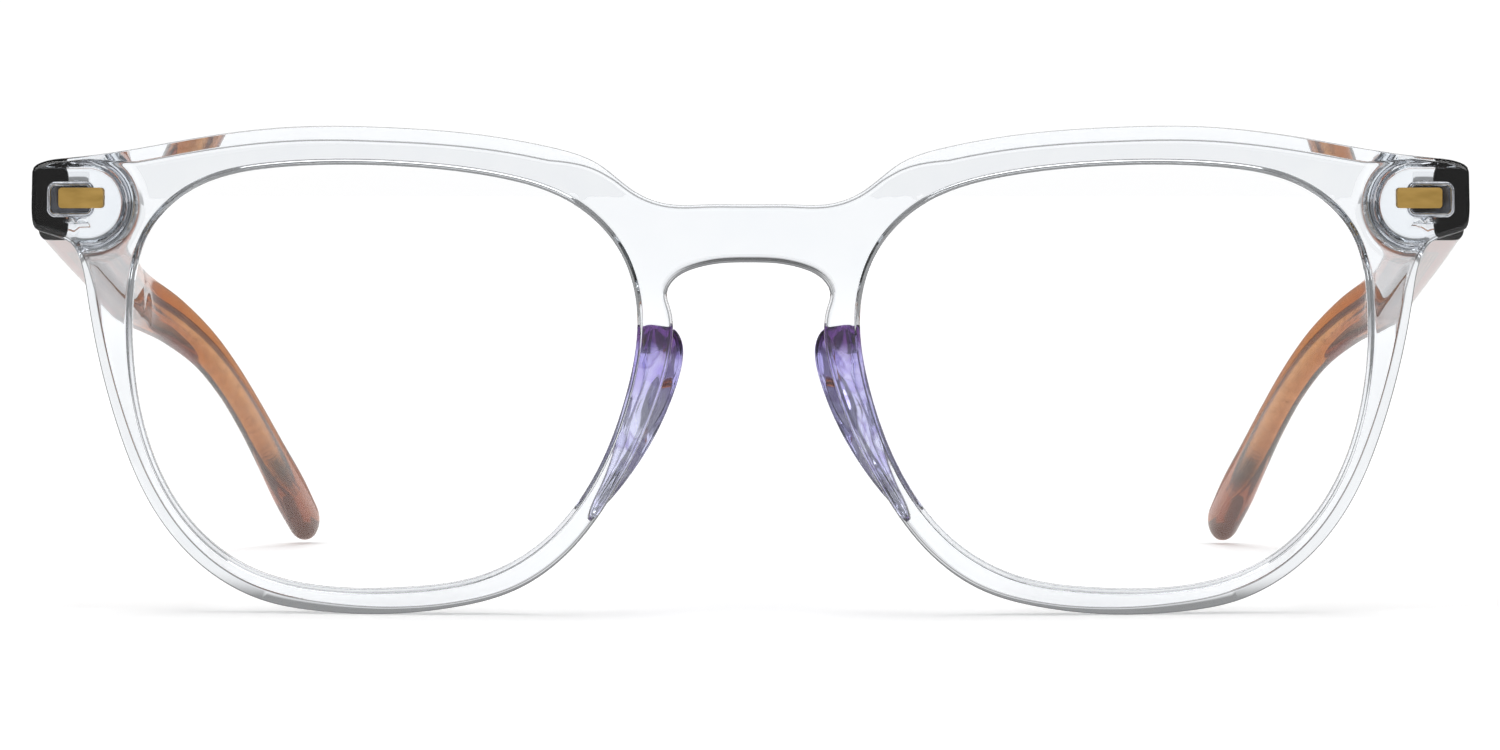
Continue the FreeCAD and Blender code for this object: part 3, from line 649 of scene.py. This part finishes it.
def build_front_hinge(side, material):
    """The foot with its raised rim, its neck, and the front's three knuckles."""
    sign = SIGN[side]
    hinge = Shape()

    def plate(middle, size, corner, depth):
        flat = rounded_rectangle(size[0] / 2, size[1] / 2, corner)
        return [(sign * (middle[0] + u), depth, middle[1] + v) for u, v in flat]

    def foot_ring(inset, depth):
        size = [length - 2 * inset for length in FOOT_SIZE]
        return plate((FOOT_X, FOOT_Z), size, max(FOOT_CORNER - inset, FOOT_LIP), depth)

    face = BUTT - FOOT_DEPTH
    # The first two rings, the recess's floor and lip, are marked for painted shade
    hinge.solid([foot_ring(FOOT_RIM, face + FOOT_HOLLOW), foot_ring(FOOT_RIM, face + FOOT_LIP),
                 foot_ring(FOOT_RIM - FOOT_LIP, face), foot_ring(FOOT_EDGE, face),
                 foot_ring(0.0, face + FOOT_EDGE), foot_ring(0.0, face + FOOT_THICK - FOOT_EDGE),
                 foot_ring(FOOT_EDGE, face + FOOT_THICK)], [1.0, 1.0] + [0.0] * 5)
    hinge.solid([plate((FOOT_X, HINGE_Z), NECK_SIZE, NECK_CORNER, depth)
                 for depth in (face + FOOT_THICK - NECK_OVERLAP, BUTT + NECK_OVERLAP)])
    for step_up in FRONT_KNUCKLES:
        low = HINGE_Z + (step_up - 0.5) * KNUCKLE_PITCH + KNUCKLE_GAP
        high = low + KNUCKLE_PITCH - 2 * KNUCKLE_GAP
        hinge.solid([[(sign * (HINGE_X + u), HINGE_DEPTH + v, z) for u, v in disc(radius)]
                     for z, radius in ((low, KNUCKLE - KNUCKLE_EDGE),
                                       (low + KNUCKLE_EDGE, KNUCKLE),
                                       (high - KNUCKLE_EDGE, KNUCKLE),
                                       (high, KNUCKLE - KNUCKLE_EDGE))])
    make_object(f"front_hinge_{side}_steel", hinge, material, "front",
                f"front_hinge_{side}", "shade")


# Shader nodes

def principled(name, color, roughness, metallic=0.0, transmission=0.0, ior=1.49):
    """A material with one Principled shader; returns the material, its shader and its node tree."""
    material = bpy.data.materials.new(name)
    material.use_nodes = True
    tree = material.node_tree
    shader = tree.nodes["Principled BSDF"]
    shader.inputs["Base Color"].default_value = (*color, 1.0)
    shader.inputs["Roughness"].default_value = roughness
    shader.inputs["Metallic"].default_value = metallic
    shader.inputs["Transmission Weight"].default_value = transmission
    shader.inputs["IOR"].default_value = ior
    return material, shader, tree


def absorb(tree, color, density):
    """Fill the piece with a tinted clear volume."""
    volume = tree.nodes.new("ShaderNodeVolumeAbsorption")
    volume.inputs["Color"].default_value = (*color, 1.0)
    volume.inputs["Density"].default_value = density
    output = tree.nodes["Material Output"]
    tree.links.new(volume.outputs["Volume"], output.inputs["Volume"])


def place(tree, stretch=(1, 1, 1)):
    """Object coordinates in metres, stretched."""
    coordinate = tree.nodes.new("ShaderNodeTexCoord")
    mapping = tree.nodes.new("ShaderNodeMapping")
    mapping.inputs["Scale"].default_value = stretch
    tree.links.new(coordinate.outputs["Object"], mapping.inputs["Vector"])
    return mapping.outputs["Vector"]


def components(tree, vector):
    """The sockets X, Y and Z of a vector."""
    split = tree.nodes.new("ShaderNodeSeparateXYZ")
    tree.links.new(vector, split.inputs[0])
    return split.outputs


def marked(tree, attribute):
    """The value of a mesh's point attribute."""
    node = tree.nodes.new("ShaderNodeAttribute")
    node.attribute_name = attribute
    return node.outputs["Fac"]


def noise(tree, vector, scale, detail=3.0, distortion=0.0):
    node = tree.nodes.new("ShaderNodeTexNoise")
    node.inputs["Scale"].default_value = scale
    node.inputs["Detail"].default_value = detail
    node.inputs["Distortion"].default_value = distortion
    tree.links.new(vector, node.inputs["Vector"])
    return node.outputs["Fac"]


def ramp(tree, value, *stops):
    """A colour ramp through (position, colour) stops."""
    node = tree.nodes.new("ShaderNodeValToRGB")
    elements = node.color_ramp.elements
    while len(elements) < len(stops):
        elements.new(0.5)
    for element, (position, color) in zip(elements, stops):
        element.position = position
        element.color = (*color, 1.0)
    tree.links.new(value, node.inputs["Fac"])
    return node.outputs["Color"]


def remap(tree, value, source, target, smooth=False):
    """A value carried from one (low, high) range to another."""
    node = tree.nodes.new("ShaderNodeMapRange")
    if smooth:
        node.interpolation_type = "SMOOTHSTEP"
    node.inputs["From Min"].default_value = source[0]
    node.inputs["From Max"].default_value = source[1]
    node.inputs["To Min"].default_value = target[0]
    node.inputs["To Max"].default_value = target[1]
    tree.links.new(value, node.inputs["Value"])
    return node.outputs["Result"]


def math_node(tree, operation, *values):
    """A math node; each value is a socket or a number. Returns its output socket."""
    node = tree.nodes.new("ShaderNodeMath")
    node.operation = operation
    for socket, value in zip(node.inputs, values):
        if isinstance(value, (int, float)):
            socket.default_value = value
        else:
            tree.links.new(value, socket)
    return node.outputs[0]


def multiply(tree, first, second):
    """The product of two colours."""
    node = tree.nodes.new("ShaderNodeMix")
    node.data_type = "RGBA"
    node.blend_type = "MULTIPLY"
    node.inputs["Factor"].default_value = 1.0
    tree.links.new(first, node.inputs["A"])
    tree.links.new(second, node.inputs["B"])
    return node.outputs["Result"]


def bump(tree, shader, height, distance, strength):
    node = tree.nodes.new("ShaderNodeBump")
    node.inputs["Distance"].default_value = distance
    node.inputs["Strength"].default_value = strength
    tree.links.new(height, node.inputs["Height"])
    tree.links.new(node.outputs["Normal"], shader.inputs["Normal"])


# Materials

def clear_acetate():
    """Clear acetate: almost colourless, with painted shade on its rounded edges, standing in for
    the dark room that they refract.
    """
    material, shader, tree = principled("clear_acetate", WHITE, 0.0, transmission=1.0)
    absorb(tree, color=(0.80, 0.83, 0.86), density=160.0)
    # Painted shade: the rounded edges darkened in the base colour, grey at the openings and nearly
    # black at the outline
    painted_edge_shade = ramp(tree, marked(tree, "edge"), (0.0, WHITE), (0.4, (0.62, 0.62, 0.63)),
                     (1.0, (0.04, 0.035, 0.03)))
    haze = ramp(tree, noise(tree, place(tree), scale=320.0), (0.3, (0.965, 0.97, 0.98)),
                (0.7, WHITE))
    tree.links.new(multiply(tree, painted_edge_shade, haze), shader.inputs["Base Color"])
    return material


def lens_glass():
    material, shader, tree = principled("lens_clear", WHITE, 0.0, transmission=1.0, ior=1.5)
    tint = ramp(tree, noise(tree, place(tree), scale=25.0), (0.3, (0.985, 0.99, 1.0)),
                (0.7, WHITE))
    tree.links.new(tint, shader.inputs["Base Color"])
    return material


def amber_acetate():
    """Warm brown acetate with faint long streaks, darker toward the ear's end."""
    material, shader, tree = principled("amber_acetate", WHITE, 0.02, transmission=1.0)
    absorb(tree, color=(0.82, 0.54, 0.16), density=900.0)
    along = place(tree, stretch=(1.0, 0.12, 1.0))
    streaks = noise(tree, along, scale=200.0, detail=2.0, distortion=0.4)
    tint = ramp(tree, streaks, (0.3, (0.84, 0.72, 0.62)), (0.7, (0.96, 0.88, 0.80)))
    toward_tip = remap(tree, components(tree, place(tree))["Y"], (0.0, 0.070), (0.0, 1.0))
    shade = ramp(tree, toward_tip, (0.0, WHITE), (0.5, (0.90, 0.78, 0.54)),
                 (0.78, (0.82, 0.68, 0.42)), (1.0, (0.52, 0.32, 0.17)))
    tree.links.new(shade, shader.inputs["Specular Tint"])
    tree.links.new(multiply(tree, tint, shade), shader.inputs["Base Color"])
    tree.links.new(remap(tree, streaks, (0.3, 0.7), (0.0, 0.03)), shader.inputs["Roughness"])
    waves = noise(tree, place(tree, stretch=(1.0, 0.25, 1.0)), scale=70.0, detail=1.0)
    bump(tree, shader, waves, distance=0.00006, strength=0.5)
    return material


def painted_lens_reflection_acetate():
    """Clear pads tinted with a painted reflection of the lens coating: dark at the top, paler and
    bluer below, with soft swirls.
    """
    material, shader, tree = principled("lavender_pad", WHITE, 0.03, transmission=1.0)
    # The lavender volume is part of the painted reflection of the lens coating; the pads are clear
    absorb(tree, color=(0.70, 0.68, 0.92), density=45.0)
    coordinate = place(tree)
    swirl = noise(tree, coordinate, scale=160.0, detail=2.0, distortion=1.6)
    height = remap(tree, components(tree, coordinate)["Z"], (0.009, 0.029), (0.0, 1.0))
    uneven_height = math_node(tree, "MULTIPLY_ADD", swirl, 0.24, height)
    # Painted reflection: dark violet at the top, paler and bluer lower down
    rise = ramp(tree, uneven_height, (0.0, (0.84, 0.85, 0.98)), (0.6, (0.78, 0.78, 0.97)),
                (0.9, (0.60, 0.54, 0.88)), (0.98, (0.16, 0.05, 0.24)))
    # Painted reflection: swirling veins in the coating's colours
    painted_reflection_veins = ramp(tree, swirl, (0.38, (0.74, 0.72, 0.92)), (0.42, (0.38, 0.30, 0.54)),
                 (0.46, WHITE), (0.56, WHITE), (0.62, (0.78, 0.70, 0.96)))
    tree.links.new(multiply(tree, rise, painted_reflection_veins), shader.inputs["Base Color"])
    return material


def brushed_metal(name, dark, light, roughness, stretch, depth):
    """Metal with fine brushed lines, which vary its colour, roughness and surface.

    Where a mesh has the attribute "shade", the metal there is nearly black: painted shade in the
    hinge foot's recess.
    """
    material, shader, tree = principled(name, light, roughness, metallic=1.0)
    lines = noise(tree, place(tree, stretch), scale=1400.0, detail=4.0)
    # Painted shade: the marked recess darkened to nearly black in the base colour
    painted_recess_shade = ramp(tree, marked(tree, "shade"), (0.0, WHITE), (1.0, (0.12, 0.12, 0.13)))
    color = multiply(tree, ramp(tree, lines, (0.3, dark), (0.7, light)), painted_recess_shade)
    tree.links.new(color, shader.inputs["Base Color"])
    spread = remap(tree, lines, (0.3, 0.7), (roughness * 0.8, roughness * 1.3))
    tree.links.new(spread, shader.inputs["Roughness"])
    bump(tree, shader, lines, depth, strength=0.6)
    return material


def floor_paint():
    """White paper, lit near the object and glowing evenly behind it, greyer far to the sides."""
    material, shader, tree = principled("floor", (0.92, 0.92, 0.92), 0.7)
    shader.inputs["Specular IOR Level"].default_value = 0.1
    shader.inputs["Emission Color"].default_value = (*WHITE, 1.0)
    spot = place(tree)
    across = components(tree, spot)
    distance = tree.nodes.new("ShaderNodeVectorMath")
    distance.operation = "LENGTH"
    tree.links.new(spot, distance.inputs[0])
    away = distance.outputs["Value"]
    glow = remap(tree, away, (0.15, 1.6), (FLOOR_NEAR, FLOOR_FAR), smooth=True)
    view_edge = math_node(tree, "MULTIPLY_ADD", across["Y"], 0.13, 0.13)
    beside = math_node(tree, "SUBTRACT", math_node(tree, "ABSOLUTE", across["X"]), view_edge)
    shade = math_node(tree, "MULTIPLY", remap(tree, away, (0.35, 0.7), (0.0, 1.0), smooth=True),
                      remap(tree, beside, (0.0, 0.12), (0.0, 1.0), smooth=True))
    dim = math_node(tree, "MULTIPLY_ADD", shade, -SIDE_DIMMING, 1.0)
    tree.links.new(math_node(tree, "MULTIPLY", glow, dim), shader.inputs["Emission Strength"])
    return material


def paint(names, material):
    """Give CAD nodes a material."""
    for name in names:
        for slot in nodes[name].material_slots:
            slot.material = material


def both(stem):
    return [stem + "_left", stem + "_right"]


# Studio

def build_world():
    """A white wall behind the object, and a dimmer room to its sides, above and in front."""
    world = bpy.data.worlds.new("studio")
    bpy.context.scene.world = world
    world.use_nodes = True
    sky = world.node_tree
    coordinate = sky.nodes.new("ShaderNodeTexCoord")
    direction = components(sky, coordinate.outputs["Generated"])
    sideways = math_node(sky, "ABSOLUTE", direction["X"])
    ahead = remap(sky, sideways, (0.16, 0.3), (WALL, 0.0), smooth=True)
    low = remap(sky, direction["Z"], (0.12, 0.2), (1.0, 0.0), smooth=True)
    behind = remap(sky, direction["Y"], (0.0, 0.3), (0.0, 1.0), smooth=True)
    wall = math_node(sky, "MULTIPLY", math_node(sky, "MULTIPLY", ahead, low), behind)
    room = remap(sky, direction["Y"], (-0.6, -0.2), (ROOM_FRONT, ROOM_SIDE), smooth=True)
    strength = math_node(sky, "MAXIMUM", wall, room)
    background = sky.nodes["Background"]
    background.inputs["Color"].default_value = (*WHITE, 1.0)
    sky.links.new(strength, background.inputs["Strength"])


def softbox(name, location, size, power):
    data = bpy.data.lights.new(name, "AREA")
    data.shape = "RECTANGLE"
    data.size, data.size_y = size
    data.energy = power
    light = bpy.data.objects.new(name, data)
    light.location = location
    direction = Vector(SOFTBOX_AIM) - Vector(location)
    light.rotation_euler = direction.to_track_quat("-Z", "Y").to_euler()
    bpy.context.scene.collection.objects.link(light)


def build_camera():
    data = bpy.data.cameras.new("camera")
    data.lens = CAMERA_LENS
    data.sensor_width = CAMERA_SENSOR
    camera = bpy.data.objects.new("camera", data)
    bpy.context.scene.collection.objects.link(camera)
    camera.location = CAMERA_PLACE
    direction = Vector(CAMERA_AIM) - camera.location
    camera.rotation_euler = direction.to_track_quat("-Z", "Y").to_euler()
    bpy.context.scene.camera = camera
    bpy.context.scene.view_settings.view_transform = "Standard"


hinge_steel = brushed_metal("hinge_steel", dark=(0.50, 0.50, 0.52), light=(0.86, 0.86, 0.88),
                            roughness=0.12, stretch=(1.0, 1.0, 0.2), depth=0.000004)
gold = brushed_metal("gold_metal", dark=(0.40, 0.25, 0.07), light=(0.50, 0.32, 0.10),
                     roughness=0.34, stretch=(0.1, 1.0, 1.0), depth=0.000005)
wire_steel = brushed_metal("wire_steel", dark=(0.74, 0.66, 0.56), light=(0.92, 0.84, 0.74),
                           roughness=0.15, stretch=(1.0, 0.05, 1.0), depth=0.000004)
amber = amber_acetate()
painted_reflection_pads = painted_lens_reflection_acetate()
build_front(clear_acetate())
for side in SIGN:
    build_temple(side, amber)
    build_front_hinge(side, hinge_steel)
    build_pad(side, painted_reflection_pads)
paint(both("lens"), lens_glass())
paint(both("front_plaque"), gold)
paint(both("temple_hinge") + both("hinge_screw"), hinge_steel)
paint(both("core_wire"), wire_steel)

build_world()
for box in SOFTBOXES:
    softbox(*box)
bpy.ops.mesh.primitive_plane_add(size=FLOOR_SIZE, location=(0, 0, cad_box[0].z))
floor = bpy.context.object
floor.name = "floor"
floor.data.materials.append(floor_paint())
build_camera()
